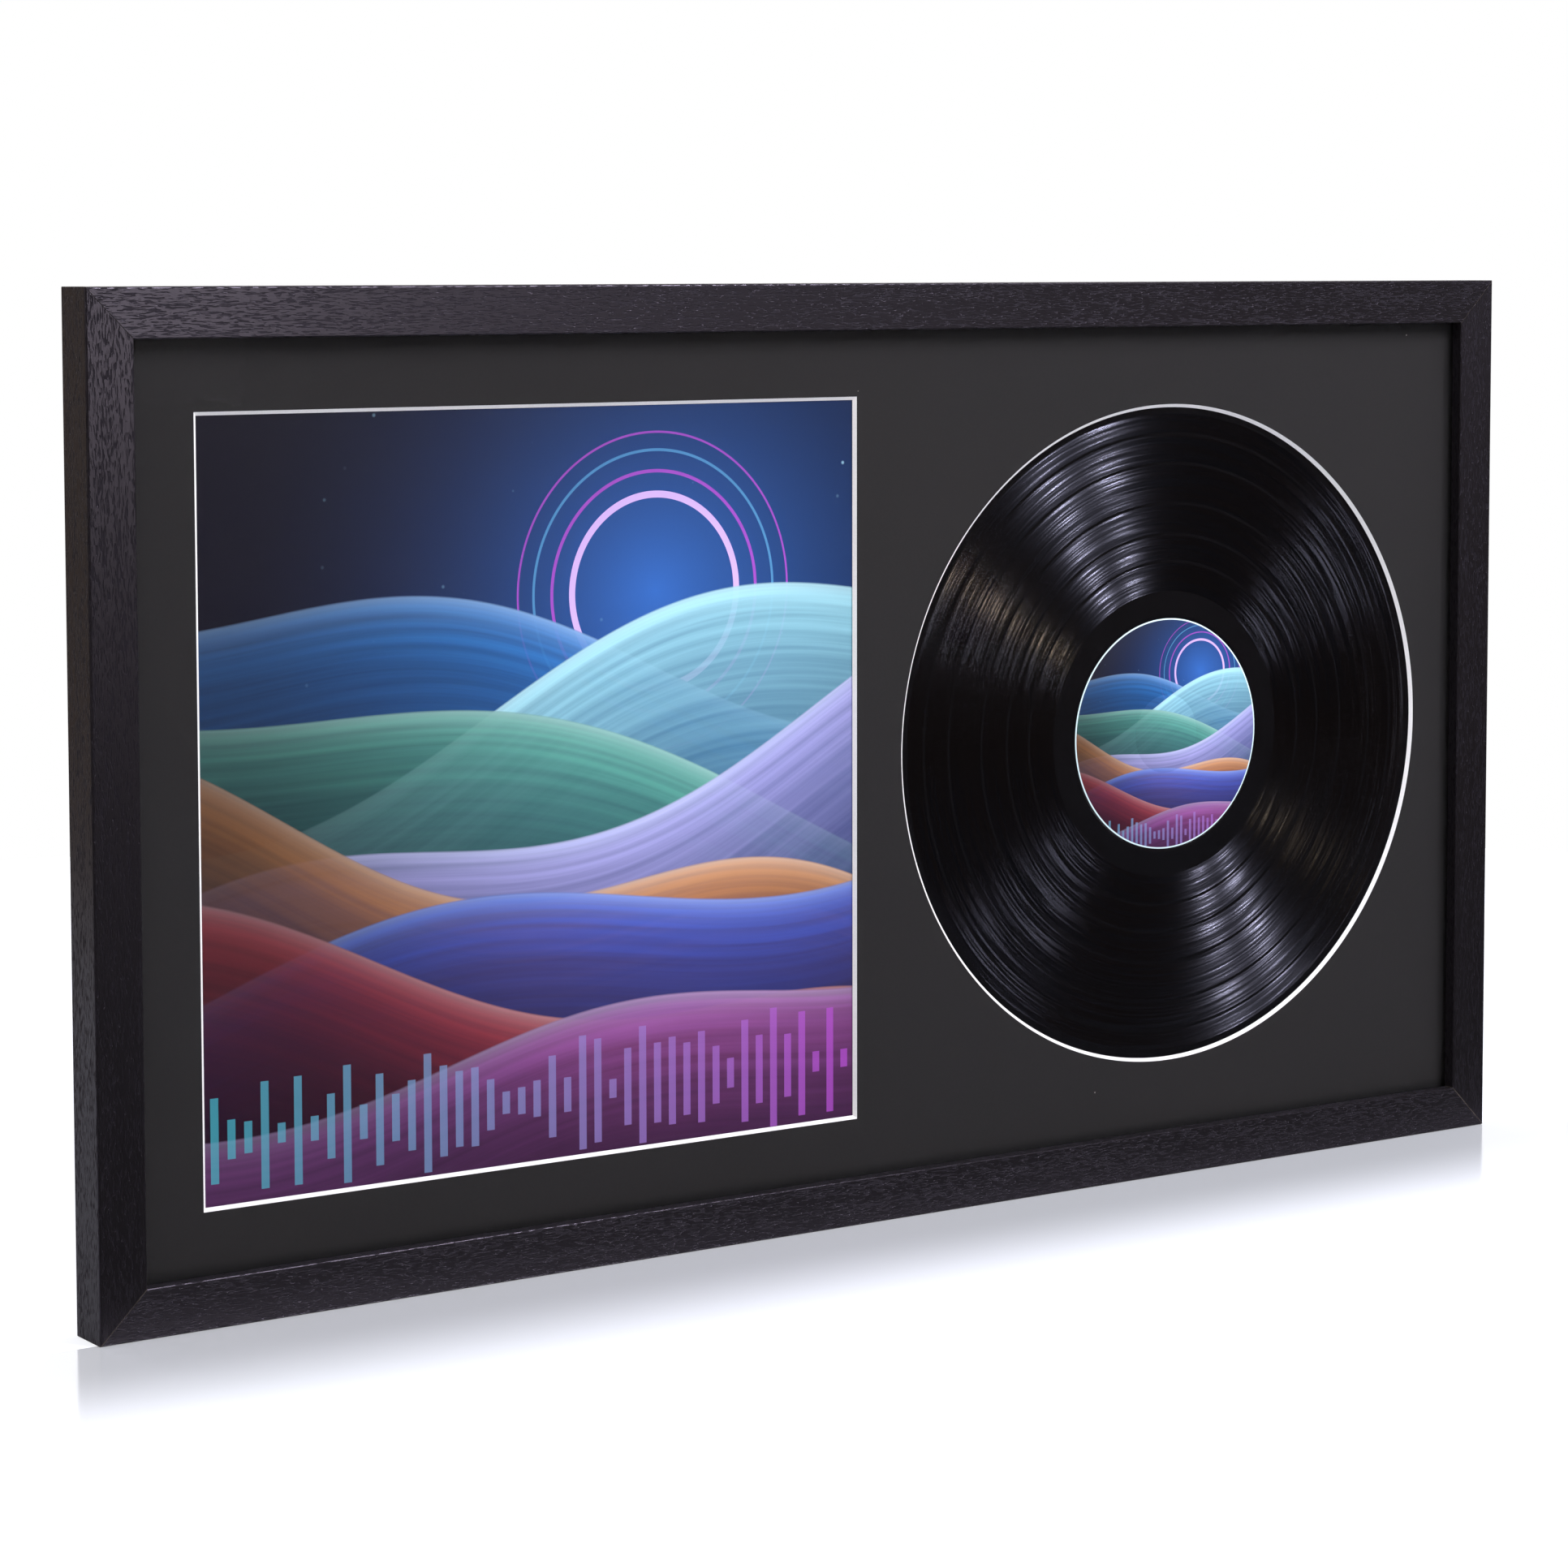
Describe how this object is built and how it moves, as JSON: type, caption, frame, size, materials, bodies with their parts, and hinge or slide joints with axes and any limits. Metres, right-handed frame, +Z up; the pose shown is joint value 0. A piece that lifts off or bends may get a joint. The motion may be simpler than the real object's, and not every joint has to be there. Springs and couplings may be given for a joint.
{
  "type": "vinyl record frame",
  "caption": "Landscape black wooden frame that shows a square record sleeve and the bare record beside it in bevel-cut windows, with a removable back held by turn-buttons and D-ring hangers.",
  "frame": {"origin": "middle of the lower rail's underside, on the surface that the frame stands on", "axes": "+X to the right along the frame's long side as seen from the front, +Y from the front to the back, +Z up"},
  "size_m": [0.707, 0.026, 0.3957],
  "materials": {
    "rail_wood": "black stained open-grain wood, satin",
    "steel": "zinc plated pressed steel",
    "glazing": "clear sheet",
    "mount_board": "charcoal face paper on a white core",
    "foam_board": "white foam-centred board",
    "sleeve_card": "printed card, satin",
    "vinyl": "black, fine concentric grooves",
    "label_paper": "printed paper, satin",
    "filler_card": "grey-white card",
    "hardboard": "brown pressed fibre board",
    "rubber": "matt black"
  },
  "bodies": {
    "frame": {"bottom_rail": "rail_wood", "top_rail": "rail_wood", "left_rail": "rail_wood", "right_rail": "rail_wood", "v_nail_bottom_left_outer": "steel", "v_nail_bottom_left_inner": "steel", "v_nail_top_left_outer": "steel", "v_nail_top_left_inner": "steel", "v_nail_bottom_right_outer": "steel", "v_nail_bottom_right_inner": "steel", "v_nail_top_right_outer": "steel", "v_nail_top_right_inner": "steel", "glazing": "glazing", "window_mount": "mount_board", "tray": "foam_board", "record_sleeve": "sleeve_card", "record_disc": "vinyl", "front_label": "label_paper", "rear_label": "label_paper", "filler_board": "filler_card", "backing_board": "hardboard", "button_screw_top_1": "steel", "button_screw_top_2": "steel", "button_screw_top_3": "steel", "button_screw_bottom_1": "steel", "button_screw_bottom_2": "steel", "button_screw_bottom_3": "steel", "button_screw_left_1": "steel", "button_screw_right_1": "steel", "hanger_strap_left": "steel", "hanger_strap_right": "steel", "hanger_screw_left": "steel", "hanger_screw_right": "steel", "bumper_left": "rubber", "bumper_right": "rubber"},
    "turn_button_top_1": {"turn_button_top_1": "steel"},
    "turn_button_top_2": {"turn_button_top_2": "steel"},
    "turn_button_top_3": {"turn_button_top_3": "steel"},
    "turn_button_bottom_1": {"turn_button_bottom_1": "steel"},
    "turn_button_bottom_2": {"turn_button_bottom_2": "steel"},
    "turn_button_bottom_3": {"turn_button_bottom_3": "steel"},
    "turn_button_left_1": {"turn_button_left_1": "steel"},
    "turn_button_right_1": {"turn_button_right_1": "steel"},
    "hanger_ring_left": {"hanger_ring_left": "steel"},
    "hanger_ring_right": {"hanger_ring_right": "steel"}
  },
  "joints": [
    {"name": "button_top_1_turn", "type": "hinge", "parent": "frame", "child": "turn_button_top_1", "pos_m": [-0.23334, 0.0114, 0.38895], "axis": [0, 1, 0], "continuous": true},
    {"name": "button_top_2_turn", "type": "hinge", "parent": "frame", "child": "turn_button_top_2", "pos_m": [0, 0.0114, 0.38895], "axis": [0, 1, 0], "continuous": true},
    {"name": "button_top_3_turn", "type": "hinge", "parent": "frame", "child": "turn_button_top_3", "pos_m": [0.23334, 0.0114, 0.38895], "axis": [0, 1, 0], "continuous": true},
    {"name": "button_bottom_1_turn", "type": "hinge", "parent": "frame", "child": "turn_button_bottom_1", "pos_m": [-0.23334, 0.0114, 0.00675], "axis": [0, 1, 0], "continuous": true},
    {"name": "button_bottom_2_turn", "type": "hinge", "parent": "frame", "child": "turn_button_bottom_2", "pos_m": [0, 0.0114, 0.00675], "axis": [0, 1, 0], "continuous": true},
    {"name": "button_bottom_3_turn", "type": "hinge", "parent": "frame", "child": "turn_button_bottom_3", "pos_m": [0.23334, 0.0114, 0.00675], "axis": [0, 1, 0], "continuous": true},
    {"name": "button_left_1_turn", "type": "hinge", "parent": "frame", "child": "turn_button_left_1", "pos_m": [-0.3468, 0.0114, 0.16619], "axis": [0, 1, 0], "continuous": true},
    {"name": "button_right_1_turn", "type": "hinge", "parent": "frame", "child": "turn_button_right_1", "pos_m": [0.3468, 0.0114, 0.16619], "axis": [0, 1, 0], "continuous": true},
    {"name": "hanger_left_swing", "type": "hinge", "parent": "frame", "child": "hanger_ring_left", "pos_m": [-0.3348, 0.0128, 0.2907], "axis": [0, 0, 1], "range_deg": [-5, 168]},
    {"name": "hanger_right_swing", "type": "hinge", "parent": "frame", "child": "hanger_ring_right", "pos_m": [0.3348, 0.0128, 0.2907], "axis": [0, 0, -1], "range_deg": [-5, 168]}
  ]
}
